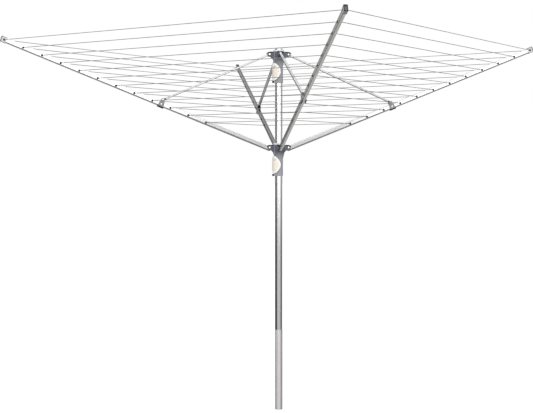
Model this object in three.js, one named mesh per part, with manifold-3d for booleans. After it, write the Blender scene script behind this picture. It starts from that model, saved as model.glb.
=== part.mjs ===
// Rotary clothesline. A mast turns in a lower pole and two latching hubs slide on it. Four arms hinge on
// the lower hub, and a strut from the upper hub holds each arm at its bracket. Square runs of line pass
// through the arms. Each strut is as long as its arm's reach from hub pivot to bracket pivot, so that the
// lower hub slides straight down as the arms fold up beside the mast.
// Millimetres, +Z up, origin at the centre of the pole's bottom end, arms along -X, -Y, +X and +Y.
import * as THREE from 'three';
import { mergeVertices } from 'three/addons/utils/BufferGeometryUtils.js';
import Module from 'manifold-3d';

const wasm = await Module();
wasm.setup();

// Clearance between pieces that touch in the real object, and how far a cutter runs past what it cuts.
const GAP = 0.3;
const PAST = 1;
const ROUND_SIDES = 24;

// Lower pole, and the mast that turns in it on a thinner spigot.
const POLE = { radius: 19.7, wall: 1, top: 422, floor: 3 };
const MAST = { radius: 18.6, wall: 2, bottom: 422.6, top: 1884, spigotRadius: 18.3, spigotBottom: 250 };
const CAP = { radius: 21.5, edge: 17.2, thickness: 5.4, plugRadius: 13.8, plugDepth: 9 };

// The mast's flat-faced rail, the channel along it, and the toothed rack that lies in the channel.
const RAIL = { face: 20.8, halfWidth: 7, channelHalf: 4.5, channelFloor: 15.8, innerFlat: 14.4 };
const RACK = { bottom: 1004, top: 1878, pitch: 16.8, notch: 10, depth: 2.9, face: 20.4, halfWidth: 4.2 };

// Both hubs are the same part, drawn about the height of their pivots. The latch faces LATCH_ANGLE from +X.
const PIVOT_RADIUS = 50;
const LOWER_HUB_Z = 1374;
const UPPER_HUB_Z = 1856;
const LATCH_ANGLE = -148;
const HUB = { top: 14, bottom: -148, bulbRadius: 30, bulbBottom: -24, collarTop: -60, collarRadius: 21.9 };
const PASSAGE = { radius: 19.1, keyFace: 21.5, keyHalf: 7.6 };
const CLAW = { radius: 14, halfWidth: 13, heel: -46, slotHalf: 8.1, slotStart: 31, slotBottom: -60 };
const HUB_PIN = { radius: 3, half: 14.2 };
const RIM = { outer: 29.5, bottom: 14.3, top: 23 };
const HOUSING = { halfWidth: 9, face: 25.5, hingeFace: 27.4, hingeBottom: -66, top: -48 };
const LEDGE = { halfWidth: 7, face: 41, top: -137 };
const LEVER = { inner: 31, outer: 34.5, centreZ: -89.5, halfHeight: 45.5, halfWidth: 31.6 };
const LEVER_PIN = { radial: 24.9, z: -56, radius: 2, half: 8.6 };
const KNUCKLE = { radius: 3.3, half: 5, pocketHalf: 5.6, pocketDepth: 6 };
const PAWL = { halfWidth: 3.8, tip: 21.3, top: -116, bottom: -124, clearance: 2.5 };

// An arm is a rectangular tube, solid at its hub end, whose centre line runs a little below its hub pivot.
const ARM_ANGLES = [180, -90, 0, 90];
const ARM = { slope: 21.84, drop: 5, halfHeight: 13, halfWidth: 7.5, wall: 1.3, solidEnd: 18 };
const TIP_CAP = { inner: -10.5, outer: 18, wall: 1.6, endWall: 4, holeRadius: 5.6 };
const BRACKET_RADIUS = 602;
const BRACKET = { halfLength: 14, halfWidth: 11, bottom: -17.5, shoulder: 11, saddleTop: 15.2 };
const CRADLE = { slotHalf: 7.2, eye: 9 };
const BRACKET_PIN = { radius: 2.5, half: 12.4 };
const RIVET = { radius: 2.5, headRadius: 4.4, crownRadius: 3.1, headThickness: 1.6 };
const STRUT = { halfWidth: 6.5, halfHeight: 4.5, wall: 1.3, eye: 7, solidEnd: 14 };

// Runs of line, from the outermost in. Each is a level square whose corners lie inside the arms.
const LINE = { runs: 12, firstRadius: 1386, pitch: 91.3, radius: 1.5, holeRadius: 3.6 };

const COLOURS = {
  aluminium: 0xd9dadb,
  dullAluminium: 0xbdbabc,
  steel: 0xe6e6e8,
  hubGrey: 0x4a4c59,
  bracketGrey: 0x787a85,
  capGrey: 0xb9b9b8,
  cream: 0xebe4d2,
  paleGrey: 0xdcdde2,
  lineGrey: 0x9b9b9b,
};

const radians = THREE.MathUtils.degToRad;
const degrees = THREE.MathUtils.radToDeg;

// The triangle of upper pivot, bracket pivot and lower pivot, with the arms open.
const linkRise = (UPPER_HUB_Z - LOWER_HUB_Z) / 2;
const linkReach = BRACKET_RADIUS - PIVOT_RADIUS;
const linkLength = Math.hypot(linkReach, linkRise);
const linkSlope = degrees(Math.atan2(linkRise, linkReach));

// The bracket pivot and line holes in an arm's own frame: X along the arm from its hub pivot, Z across it.
const bracketAlong = linkLength * Math.cos(radians(linkSlope - ARM.slope));
const bracketAbove = linkLength * Math.sin(radians(linkSlope - ARM.slope));
const centreLineRadius = PIVOT_RADIUS + ARM.drop * Math.sin(radians(ARM.slope));
const centreLineZ = LOWER_HUB_Z - ARM.drop * Math.cos(radians(ARM.slope));
const holes = Array.from({ length: LINE.runs }, (_, run) => {
  const radius = LINE.firstRadius - LINE.pitch * run;
  const reach = radius - centreLineRadius;
  return {
    radius,
    along: reach / Math.cos(radians(ARM.slope)),
    z: centreLineZ + reach * Math.tan(radians(ARM.slope)),
  };
});

// ---- shapes ----

function box(x0, x1, y0, y1, z0, z1) {
  const geometry = new THREE.BoxGeometry(x1 - x0, y1 - y0, z1 - z0);
  return geometry.translate((x0 + x1) / 2, (y0 + y1) / 2, (z0 + z1) / 2);
}

// A box as wide to each side of Y = 0.
function bar(x0, x1, half, z0, z1) {
  return box(x0, x1, -half, half, z0, z1);
}

// A round rod across Y, centred at x, z.
function rod(radius, half, x, z, sides = 12) {
  return new THREE.CylinderGeometry(radius, radius, half * 2, sides).translate(x, 0, z);
}

// A shape turned about Z, from [radius, z] corners.
function turned(profile, sides = ROUND_SIDES) {
  const points = profile.map(([r, z]) => new THREE.Vector2(r, z));
  return new THREE.LatheGeometry(points, sides).rotateX(Math.PI / 2);
}

function cylinder(radius, z0, z1) {
  return turned([[0, z0], [radius, z0], [radius, z1], [0, z1]]);
}

function extruded(corners, depth) {
  const shape = new THREE.Shape(corners.map(([x, y]) => new THREE.Vector2(x, y)));
  return new THREE.ExtrudeGeometry(shape, { depth, bevelEnabled: false });
}

// A plan outline raised from z0 to z1.
function raised(corners, z0, z1) {
  return extruded(corners, z1 - z0).translate(0, 0, z0);
}

// An outline in the X-Z plane, given thickness to each side of Y = 0.
function across(corners, half) {
  return extruded(corners, half * 2).rotateX(Math.PI / 2).translate(0, half, 0);
}

function arc(x, y, radius, from, to, steps) {
  return Array.from({ length: steps + 1 }, (_, i) => {
    const angle = radians(from + ((to - from) * i) / steps);
    return [x + radius * Math.cos(angle), y + radius * Math.sin(angle)];
  });
}

// ---- joining and cutting ----

function solid(geometry) {
  const bare = geometry.clone();
  bare.deleteAttribute('normal');
  bare.deleteAttribute('uv');
  const merged = mergeVertices(bare, 1e-4);
  const corners = merged.index.array;
  const kept = [];
  for (let i = 0; i < corners.length; i += 3) {
    const triangle = [corners[i], corners[i + 1], corners[i + 2]];
    if (new Set(triangle).size === 3) {
      kept.push(...triangle);
    }
  }
  return new wasm.Manifold(
    new wasm.Mesh({
      numProp: 3,
      vertProperties: new Float32Array(merged.attributes.position.array),
      triVerts: new Uint32Array(kept),
    }),
  );
}

function joined(geometries) {
  return geometries.map(solid).reduce((whole, piece) => whole.add(piece));
}

function shaped(whole) {
  const { vertProperties, triVerts } = whole.getMesh();
  const indexed = new THREE.BufferGeometry();
  indexed.setAttribute('position', new THREE.BufferAttribute(new Float32Array(vertProperties), 3));
  indexed.setIndex(new THREE.BufferAttribute(new Uint32Array(triVerts), 1));
  const geometry = indexed.toNonIndexed();
  geometry.computeVertexNormals();
  return geometry;
}

// The geometries in adds as one body, less those in cuts.
function carved(adds, cuts) {
  return shaped(joined(adds).subtract(joined(cuts)));
}

// ---- materials and placing ----

function metal(colour, roughness) {
  return new THREE.MeshStandardMaterial({ color: colour, roughness, metalness: 1 });
}

function plastic(colour, roughness) {
  return new THREE.MeshStandardMaterial({ color: colour, roughness, metalness: 0 });
}

function piece(name, geometry, material) {
  const mesh = new THREE.Mesh(geometry, material);
  mesh.name = name;
  return mesh;
}

// A group turned about Z, which holds what is drawn along its own X.
function facing(angle, ...children) {
  const group = new THREE.Group();
  group.rotation.z = radians(angle);
  group.add(...children);
  return group;
}

// ---- pole and mast ----

function lowerPole() {
  const { radius, wall, top, floor } = POLE;
  return carved([cylinder(radius, 0, top)], [cylinder(radius - wall, floor, top + PAST)]);
}

function mast() {
  const { radius, wall, bottom, top, spigotRadius, spigotBottom } = MAST;
  const { face, halfWidth, channelHalf, channelFloor, innerFlat } = RAIL;
  const railStart = degrees(Math.asin(halfWidth / radius));
  const outline = [
    ...arc(0, 0, radius, railStart, 360 - railStart, 24),
    [face, -halfWidth],
    [face, -channelHalf],
    [channelFloor, -channelHalf],
    [channelFloor, channelHalf],
    [face, channelHalf],
    [face, halfWidth],
  ];
  const flatStart = degrees(Math.acos(innerFlat / (radius - wall)));
  const hollow = arc(0, 0, radius - wall, flatStart, 360 - flatStart, 24);
  return carved(
    [raised(outline, bottom, top), cylinder(spigotRadius, spigotBottom, bottom + PAST)],
    [raised(hollow, spigotBottom - PAST, top + PAST)],
  );
}

function rack() {
  const back = RAIL.channelFloor + GAP;
  const { bottom, top, pitch, notch, depth, face, halfWidth } = RACK;
  const outline = [[back, bottom], [face, bottom]];
  for (let foot = bottom + pitch / 2; foot + notch < top - pitch / 2; foot += pitch) {
    outline.push([face, foot], [face - depth, foot], [face - depth, foot + notch], [face, foot + notch]);
  }
  outline.push([face, top], [back, top]);
  return across(outline, halfWidth);
}

function mastCap() {
  const { radius, edge, thickness, plugRadius, plugDepth } = CAP;
  return turned([
    [0, -plugDepth],
    [plugRadius, -plugDepth],
    [plugRadius, 0],
    [radius, 0],
    [radius, thickness / 2],
    [edge, thickness],
    [0, thickness],
  ]);
}

function mastPieces() {
  const cap = piece('mast_cap', mastCap(), plastic(COLOURS.paleGrey, 0.5));
  cap.position.z = MAST.top + GAP;
  return [
    piece('lower_pole', lowerPole(), metal(COLOURS.dullAluminium, 0.45)),
    facing(
      LATCH_ANGLE,
      piece('mast', mast(), metal(COLOURS.aluminium, 0.35)),
      piece('rack', rack(), plastic(COLOURS.paleGrey, 0.5)),
    ),
    cap,
  ];
}

// ---- hubs ----

// The space that the mast and its rail need through a hub piece.
function passage(z0, z1) {
  const { radius, keyFace, keyHalf } = PASSAGE;
  return [cylinder(radius, z0, z1), bar(0, keyFace, keyHalf, z0, z1).rotateZ(radians(LATCH_ANGLE))];
}

function claw() {
  const { radius, halfWidth, heel } = CLAW;
  const root = PASSAGE.radius + PAST;
  const foot = HUB.collarRadius;
  const nose = arc(PIVOT_RADIUS, 0, radius, 90, -118, 8);
  return across([[root, HUB.top], ...nose, [foot, heel], [root, heel]], halfWidth);
}

function hubBody() {
  const { top, bottom, bulbRadius, bulbBottom, collarTop, collarRadius } = HUB;
  const body = turned([
    [0, bottom],
    [collarRadius, bottom],
    [collarRadius, collarTop],
    [(collarRadius + bulbRadius) / 2, (collarTop * 2 + bulbBottom) / 3],
    [bulbRadius, bulbBottom],
    [bulbRadius, top],
    [0, top],
  ]);
  const housing = [
    bar(0, HOUSING.face, HOUSING.halfWidth, bottom, HOUSING.top),
    bar(0, HOUSING.hingeFace, HOUSING.halfWidth, HOUSING.hingeBottom, HOUSING.top),
    bar(0, LEDGE.face, LEDGE.halfWidth, bottom, LEDGE.top),
  ];
  const { radial, z, radius } = LEVER_PIN;
  const { pocketHalf, pocketDepth } = KNUCKLE;
  const inside = PASSAGE.radius - PAST;
  const windowHalf = PAWL.halfWidth + GAP * 2;
  const latchCuts = [
    bar(inside, LEDGE.face, pocketHalf, z - pocketDepth, z + pocketDepth),
    rod(radius + GAP, HOUSING.halfWidth + PAST, radial, z),
    bar(inside, LEVER.inner, windowHalf, PAWL.bottom - PAWL.clearance, PAWL.top + PAWL.clearance),
  ];
  const clawCuts = (angle) => [
    bar(CLAW.slotStart, PIVOT_RADIUS + CLAW.radius + PAST, CLAW.slotHalf, CLAW.slotBottom, top + PAST),
    rod(HUB_PIN.radius + GAP, CLAW.halfWidth + PAST, PIVOT_RADIUS, 0),
  ].map((cutter) => cutter.rotateZ(radians(angle)));
  return carved(
    [
      body,
      ...ARM_ANGLES.map((angle) => claw().rotateZ(radians(angle))),
      ...housing.map((block) => block.rotateZ(radians(LATCH_ANGLE))),
    ],
    [
      ...passage(bottom - PAST, top + PAST),
      ...ARM_ANGLES.flatMap(clawCuts),
      ...latchCuts.map((cutter) => cutter.rotateZ(radians(LATCH_ANGLE))),
    ],
  );
}

function hubRim() {
  return carved([cylinder(RIM.outer, RIM.bottom, RIM.top)], passage(RIM.bottom - PAST, RIM.top + PAST));
}

// A curved oval grip round the latch side of the collar, hinged near its top, with a pawl near its foot.
function lever() {
  const { inner, outer, centreZ, halfHeight, halfWidth } = LEVER;
  const low = centreZ - halfHeight - PAST;
  const high = centreZ + halfHeight + PAST;
  const sleeve = solid(cylinder(outer, low, high)).subtract(solid(cylinder(inner, low - PAST, high + PAST)));
  const oval = arc(0, 0, 1, 0, 340, 17).map(([x, y]) => [x * halfWidth, centreZ + y * halfHeight]);
  const reach = outer / 2 + PAST;
  const ovalBlock = across(oval, reach).rotateZ(Math.PI / 2).translate(reach, 0, 0);
  const { radial, z, radius } = LEVER_PIN;
  const fittings = [
    bar(radial, inner + PAST, KNUCKLE.half, z - KNUCKLE.radius, z + KNUCKLE.radius),
    rod(KNUCKLE.radius, KNUCKLE.half, radial, z),
    bar(PAWL.tip, inner + PAST, PAWL.halfWidth, PAWL.bottom, PAWL.top),
  ];
  const grip = sleeve.intersect(solid(ovalBlock)).add(joined(fittings));
  return shaped(grip.subtract(solid(rod(radius + GAP, KNUCKLE.half + PAST, radial, z))));
}

function hub(name, z) {
  const { radial, radius, half } = LEVER_PIN;
  const group = new THREE.Group();
  group.position.z = z;
  group.add(
    piece(`${name}_hub_body`, hubBody(), plastic(COLOURS.hubGrey, 0.55)),
    piece(`${name}_hub_rim`, hubRim(), plastic(COLOURS.paleGrey, 0.5)),
    facing(
      LATCH_ANGLE,
      piece(`${name}_lever`, lever(), plastic(COLOURS.cream, 0.45)),
      piece(`${name}_lever_pin`, rod(radius, half, radial, LEVER_PIN.z), metal(COLOURS.steel, 0.3)),
    ),
  );
  return group;
}

// ---- arms ----

function armTube() {
  const { drop, halfHeight, halfWidth, wall, solidEnd } = ARM;
  const end = holes[0].along + TIP_CAP.outer - TIP_CAP.endWall - GAP;
  const past = halfWidth + PAST;
  return carved(
    [
      bar(0, end, halfWidth, -halfHeight - drop, halfHeight - drop),
      rod(halfHeight, halfWidth, 0, -drop, 16),
    ],
    [
      bar(solidEnd, end + PAST, halfWidth - wall, wall - halfHeight - drop, halfHeight - wall - drop),
      rod(HUB_PIN.radius + GAP, past, 0, 0),
      rod(RIVET.radius + GAP, past, bracketAlong, -drop),
      ...holes.map(({ along }) => rod(LINE.holeRadius, past, along, -drop, 6)),
    ],
  );
}

function tipCap() {
  const { inner, outer, wall, endWall, holeRadius } = TIP_CAP;
  const tip = holes[0].along;
  const clearWidth = ARM.halfWidth + GAP;
  const clearHeight = ARM.halfHeight + GAP;
  const full = clearHeight + wall;
  const z = -ARM.drop;
  return carved(
    [bar(tip + inner, tip + outer, clearWidth + wall, z - full, z + full)],
    [
      bar(tip + inner - PAST, tip + outer - endWall, clearWidth, z - clearHeight, z + clearHeight),
      rod(holeRadius, clearWidth + wall + PAST, tip, z, 8),
    ],
  );
}

// A saddle round the arm, with two cheeks above it for the strut's eye. Drawn about the arm's centre line.
function bracket() {
  const { halfLength, halfWidth, bottom, shoulder, saddleTop } = BRACKET;
  const { slotHalf, eye } = CRADLE;
  const eyeHeight = bracketAbove + ARM.drop;
  const outline = [
    [-halfLength, bottom],
    [halfLength, bottom],
    [halfLength, shoulder],
    ...arc(0, eyeHeight, eye, 20, 160, 8),
    [-halfLength, shoulder],
  ];
  const length = halfLength + PAST;
  const clearHeight = ARM.halfHeight + GAP;
  return carved(
    [across(outline, halfWidth)],
    [
      bar(-length, length, slotHalf, saddleTop, eyeHeight + eye + PAST),
      bar(-length, length, ARM.halfWidth + GAP, -clearHeight, clearHeight),
      rod(RIVET.radius + GAP, halfWidth + PAST, 0, 0),
      rod(BRACKET_PIN.radius + GAP, halfWidth + PAST, 0, eyeHeight),
    ],
  );
}

// A rivet along Z with a domed head at each end.
function rivet() {
  const { radius, headRadius, crownRadius, headThickness } = RIVET;
  const inner = BRACKET.halfWidth + GAP;
  const outer = inner + headThickness;
  return turned(
    [
      [0, -outer],
      [crownRadius, -outer],
      [headRadius, -inner],
      [radius, -inner],
      [radius, inner],
      [headRadius, inner],
      [crownRadius, outer],
      [0, outer],
    ],
    12,
  );
}

function arm(number, angle) {
  const saddle = piece(`arm_${number}_bracket`, bracket(), plastic(COLOURS.bracketGrey, 0.55));
  saddle.position.set(bracketAlong, 0, -ARM.drop);
  const rivetPiece = piece(`arm_${number}_rivet`, rivet(), metal(COLOURS.steel, 0.3));
  rivetPiece.position.copy(saddle.position);
  rivetPiece.rotation.x = Math.PI / 2;
  const bracketPin = rod(BRACKET_PIN.radius, BRACKET_PIN.half, bracketAlong, bracketAbove);
  const tilted = new THREE.Group();
  tilted.position.set(PIVOT_RADIUS, 0, LOWER_HUB_Z);
  tilted.rotation.y = radians(-ARM.slope);
  tilted.add(
    piece(`arm_${number}_tube`, armTube(), metal(COLOURS.aluminium, 0.35)),
    piece(`arm_${number}_tip_cap`, tipCap(), plastic(COLOURS.capGrey, 0.6)),
    saddle,
    rivetPiece,
    piece(`arm_${number}_bracket_pin`, bracketPin, metal(COLOURS.steel, 0.3)),
    piece(`arm_${number}_hub_pin`, rod(HUB_PIN.radius, HUB_PIN.half, 0, 0), metal(COLOURS.steel, 0.3)),
  );
  return facing(angle, tilted);
}

// ---- struts ----

// A channel open on its underside with a round eye at each end, drawn along X from its upper pivot.
function strutBar() {
  const { halfWidth, halfHeight, wall, eye, solidEnd } = STRUT;
  const past = halfWidth + PAST;
  return carved(
    [
      bar(0, linkLength, halfWidth, -halfHeight, halfHeight),
      rod(eye, halfWidth, 0, 0),
      rod(eye, halfWidth, linkLength, 0),
    ],
    [
      bar(solidEnd, linkLength - solidEnd, halfWidth - wall, -halfHeight - PAST, halfHeight - wall),
      rod(HUB_PIN.radius + GAP, past, 0, 0),
      rod(BRACKET_PIN.radius + GAP, past, linkLength, 0),
    ],
  );
}

function strut(number, angle) {
  const tilted = new THREE.Group();
  tilted.position.set(PIVOT_RADIUS, 0, UPPER_HUB_Z);
  tilted.rotation.y = radians(linkSlope);
  tilted.add(
    piece(`strut_${number}`, strutBar(), metal(COLOURS.aluminium, 0.35)),
    piece(`strut_${number}_hub_pin`, rod(HUB_PIN.radius, HUB_PIN.half, 0, 0), metal(COLOURS.steel, 0.3)),
  );
  return facing(angle, tilted);
}

// ---- lines ----

// Four straight sides meeting inside the arms. The section is drawn in the plane of a corner, where the
// round line is wider by the square root of two.
function lineSquare(radius) {
  const corner = radius + ARM.halfWidth - ARM.wall / 2;
  const section = arc(0, 0, LINE.radius, 0, 360, 6).map(([x, y]) => [corner + x * Math.SQRT2, y]);
  return turned(section, 4);
}

function lineRun({ radius, z }, run) {
  const number = String(run + 1).padStart(2, '0');
  const mesh = piece(`line_run_${number}`, lineSquare(radius), plastic(COLOURS.lineGrey, 0.6));
  mesh.position.z = z;
  return mesh;
}

const clothesline = new THREE.Group();
clothesline.name = 'rotary_clothesline';
clothesline.add(
  ...mastPieces(),
  hub('upper', UPPER_HUB_Z),
  hub('lower', LOWER_HUB_Z),
  ...ARM_ANGLES.map((angle, i) => arm(i + 1, angle)),
  ...ARM_ANGLES.map((angle, i) => strut(i + 1, angle)),
  ...holes.map(lineRun),
);

export default clothesline;
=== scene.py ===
"""The looks of the rotary clothesline: detailed pieces, materials, camera, floor and lights.

Lengths in the constants are millimetres, as in the CAD source, and MM turns them into metres. The camera, the
floor and the lights are in metres. Angles are degrees.
Each shape is drawn in a frame of its own (a hub's, an arm's, a strut's) and placed by that frame's matrix.
"""

import math

import bmesh
import bpy
from mathutils import Matrix, Vector


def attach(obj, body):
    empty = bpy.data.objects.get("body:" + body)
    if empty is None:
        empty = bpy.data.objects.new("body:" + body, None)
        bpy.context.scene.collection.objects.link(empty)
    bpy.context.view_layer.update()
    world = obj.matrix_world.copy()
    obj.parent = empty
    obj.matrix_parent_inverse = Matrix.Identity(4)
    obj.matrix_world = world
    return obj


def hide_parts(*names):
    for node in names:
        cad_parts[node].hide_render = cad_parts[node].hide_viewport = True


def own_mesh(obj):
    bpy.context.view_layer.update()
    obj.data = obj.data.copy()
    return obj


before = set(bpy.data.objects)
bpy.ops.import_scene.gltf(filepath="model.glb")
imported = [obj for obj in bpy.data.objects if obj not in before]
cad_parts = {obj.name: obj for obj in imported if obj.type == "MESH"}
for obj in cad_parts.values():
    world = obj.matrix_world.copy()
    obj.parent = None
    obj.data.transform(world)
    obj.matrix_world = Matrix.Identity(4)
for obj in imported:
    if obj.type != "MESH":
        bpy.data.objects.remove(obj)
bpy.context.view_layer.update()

MM = 0.001

# ---- sizes ----

POLE = {"radius": 19.7, "wall": 1.0, "top": 422.0, "floor": 3.0, "edge": 0.35}
MAST = {
    "radius": 18.6,
    "wall": 2.0,
    "bottom": 422.6,
    "top": 1884.0,
    "spigot": 18.3,
    "spigot_bottom": 250.0,
    "spigot_top": 424.0,
}
# The cap on the mast, the flat rail down the mast that keys the hubs, and the rack in the rail's channel.
CAP = {"radius": 21.5, "thickness": 5.4, "plug": 13.8, "plug_depth": 9.0, "gap": 0.3}
RAIL = {"face": 20.8, "half": 7.0, "channel": (-3.4, 6.3), "channel_floor": 15.8, "inner_flat": 14.4}
RACK = {
    "bottom": 1004.0,
    "top": 1878.0,
    "pitch": 16.8,
    "notch": 11.6,
    "depth": 3.6,
    "face": 20.3,
    "sides": (-3.1, 6.0),
    "edge": 0.4,
}

PIVOT_RADIUS = 50.0
LOWER_HUB_Z = 1374.0
UPPER_HUB_Z = 1856.0
LATCH_ANGLE = -148.0
# Both hubs: the casting, its claws, the ledge and the ridge on the latch's side, and the passage for the mast
# and its rail. Heights are from the level of the hub's pins.
HUB = {"top": 14.0, "flange": 30.0, "collar": 21.9, "bottom": -148.0}
CLAW = {"half": 13.0, "nose": 10.6, "slot_half": 8.1, "slot_start": 31.0, "slot_end": 66.0}
LEDGE = {"face": 41.0, "half": 7.0, "top": -137.0}
RIDGE = {"face": 31.6, "half": 3.2, "bottom": -41.5}
PASSAGE = {"radius": 19.1, "key_face": 21.5, "key_half": 7.6}
HUB_PIN = {"radius": 3.0, "half": 14.2, "head": 5.0, "head_at": 13.05}
RIM = {"outer": 29.5, "bottom": 14.3, "top": 23.0}
LEVER = {"inner": 31.0, "outer": 34.5, "z": -89.5, "half_height": 45.5, "half_width": 31.6, "border": 0.765}
SLOT = {"around": 6.5, "z": -65.5, "lean": 42.0, "length": 15.0, "width": 3.4, "depth": 1.3}
LEVER_PIN = {"radial": 24.9, "z": -56.0, "radius": 2.0, "half": 8.6}
HOLE = {"hub_pin": 3.3, "bracket_pin": 2.8, "lever_pin": 2.3, "line": 3.6}

ARM_ANGLES = (180.0, -90.0, 0.0, 90.0)
ARM = {"slope": 21.84, "drop": 5.0, "half_height": 13.0, "half_width": 7.5, "wall": 1.3}
TIP_CAP = {"inner": -10.5, "outer": 18.0, "thickness": 1.6, "panel_drop": 2.0}
BRACKET_RADIUS = 602.0
BRACKET = {"half": 10.8, "cheek_gap": 7.2, "hook": 9.2, "hook_middle": 6.2}
BRACKET_PIN = {"radius": 2.5, "half": 12.4, "head": 3.9, "head_at": 10.85}
STRUT = {"half_width": 6.5, "half_height": 4.5, "wall": 1.3, "eye": 7.0, "root": 14.0, "socket": 15.0}
# The runs of line: how far from the mast's axis the first passes through the arms, and the step to the next.
# The mesh of half a side has so many lengths and so many sides.
LINE = {"runs": 12, "first": 1386.0, "pitch": 91.3, "radius": 1.5, "lengths": 6, "sides": 8}

# The camera and the floor, in metres. Only the sensor and the lens are in millimetres.
CAMERA = {
    "azimuth": 10.95,
    "distance": 5.8485,
    "height": 1.2988,
    "pitch": -2.275,
    "sensor": 36.0,
    "lens": 75.68105,
    "shift": -0.0229644,
}
FLOOR = {"half": 60.0, "below": 0.0006, "glow": 0.85}

SLACK = 0.3  # between a cap or a bracket and the arm inside it
PAST = 2.0  # how far a cutting shape reaches past what it cuts

LINK_RISE = (UPPER_HUB_Z - LOWER_HUB_Z) / 2
LINK_REACH = BRACKET_RADIUS - PIVOT_RADIUS
LINK_LENGTH = math.hypot(LINK_REACH, LINK_RISE)
LINK_SLOPE = math.degrees(math.atan2(LINK_RISE, LINK_REACH))
BRACKET_ALONG = LINK_LENGTH * math.cos(math.radians(LINK_SLOPE - ARM["slope"]))
BRACKET_ABOVE = LINK_LENGTH * math.sin(math.radians(LINK_SLOPE - ARM["slope"])) + ARM["drop"]


def hole_along(run):
    """How far along the arm, from its hub pivot, a run of line passes through it."""
    centre_line = PIVOT_RADIUS + ARM["drop"] * math.sin(math.radians(ARM["slope"]))
    return (LINE["first"] - LINE["pitch"] * run - centre_line) / math.cos(math.radians(ARM["slope"]))


TIP_ALONG = hole_along(0)


# ---- frames ----


def turn(angle):
    return Matrix.Rotation(math.radians(angle), 4, "Z")


def shift(x, y, z):
    return Matrix.Translation((x * MM, y * MM, z * MM))


def tilt(angle):
    """Raises the +X end by angle."""
    return Matrix.Rotation(math.radians(-angle), 4, "Y")


def arm_frame(angle):
    """X along the arm's centre line from below its hub pivot, Z across it."""
    return turn(angle) @ shift(PIVOT_RADIUS, 0, LOWER_HUB_Z) @ tilt(ARM["slope"]) @ shift(0, 0, -ARM["drop"])


def strut_frame(angle):
    return turn(angle) @ shift(PIVOT_RADIUS, 0, UPPER_HUB_Z) @ tilt(-LINK_SLOPE)


# ---- outlines ----


def arc(x, y, radius, start, end, steps):
    """Points on a circle about x, y, from one angle to another in degrees."""
    points = []
    for i in range(steps + 1):
        angle = math.radians(start + (end - start) * i / steps)
        points.append((x + radius * math.cos(angle), y + radius * math.sin(angle)))
    return points


def softened(corners, radius, steps=3, closed=True):
    """The outline with each corner rounded over about radius, or less where its edges are short."""
    most_of_edge = 0.45
    points = []
    count = len(corners)
    for i, corner in enumerate(corners):
        if not closed and i in (0, count - 1):
            points.append(tuple(corner))
            continue
        here = Vector(corner)
        before = Vector(corners[i - 1]) - here
        after = Vector(corners[(i + 1) % count]) - here
        start = here + before * min(radius / before.length, most_of_edge)
        end = here + after * min(radius / after.length, most_of_edge)
        for k in range(steps + 1):
            t = k / steps
            point = start * (1 - t) ** 2 + here * (2 * t * (1 - t)) + end * t**2
            points.append(tuple(point))
    return points


def rectangle(half_x, half_y):
    return [(-half_x, -half_y), (half_x, -half_y), (half_x, half_y), (-half_x, half_y)]


# ---- meshes ----


def across_y(mesh):
    """Turns a mesh that stands along Z to lie along Y."""
    mesh.transform(Matrix.Rotation(math.pi / 2, 4, "X"))
    return mesh


def mirrored(side):
    """A (radius, z) profile from one end to the other, from the half of it above z = 0."""
    return [*[(radius, -z) for radius, z in side], *reversed(side)]


def mesh_from(vertices, faces):
    mesh = bpy.data.meshes.new("shape")
    mesh.from_pydata([[c * MM for c in v] for v in vertices], [], faces)
    return tidy(mesh)


def tidy(mesh):
    """Welds doubled vertices, drops edges that carry no face, and turns the faces outwards."""
    work = bmesh.new()
    work.from_mesh(mesh)
    doubled = 0.002 * MM
    bmesh.ops.remove_doubles(work, verts=work.verts, dist=doubled)
    loose = [edge for edge in work.edges if not edge.link_faces]
    bmesh.ops.delete(work, geom=loose, context="EDGES")
    bmesh.ops.recalc_face_normals(work, faces=work.faces)
    work.to_mesh(mesh)
    work.free()
    return mesh


def moved(mesh, matrix):
    copy = mesh.copy()
    copy.transform(matrix)
    return copy


def turned(profile, segments=48, closed=False):
    """A solid turned about Z from (radius, z) corners. closed joins the last corner to the first."""
    vertices, rings = [], []
    for radius, z in profile:
        start = len(vertices)
        if radius == 0:
            vertices.append((0, 0, z))
            rings.append([start] * segments)
        else:
            for i in range(segments):
                angle = 2 * math.pi * i / segments
                vertices.append((radius * math.cos(angle), radius * math.sin(angle), z))
            rings.append(list(range(start, start + segments)))
    faces = []
    pairs = list(zip(rings, rings[1:]))
    if closed:
        pairs.append((rings[-1], rings[0]))
    for low, high in pairs:
        for i in range(segments):
            j = (i + 1) % segments
            corners = list(dict.fromkeys((low[i], low[j], high[j], high[i])))
            if len(corners) > 2:
                faces.append(corners)
    return mesh_from(vertices, faces)


def stacked(sections, closed=False):
    """A solid through rings of equally many points. Its ends are capped, or else closed joins them."""
    size = len(sections[0])
    vertices = [point for ring in sections for point in ring]
    faces = []
    count = len(sections)
    for k in range(count if closed else count - 1):
        a, b = k * size, (k + 1) % count * size
        for i in range(size):
            j = (i + 1) % size
            faces.append((a + i, a + j, b + j, b + i))
    if not closed:
        faces.append(list(range(size))[::-1])
        faces.append(list(range((count - 1) * size, count * size)))
    return mesh_from(vertices, faces)


def tube_along_x(outline, shrink, x0, x1):
    """A tube from x0 to x1 whose section is a (y, z) outline, less the same outline shrunk in y and z."""
    inner = [(y * shrink[0], z * shrink[1]) for y, z in outline]
    rings = [(x0, outline), (x1, outline), (x1, inner), (x0, inner)]
    return stacked([[(x, y, z) for y, z in ring] for x, ring in rings], closed=True)


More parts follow.
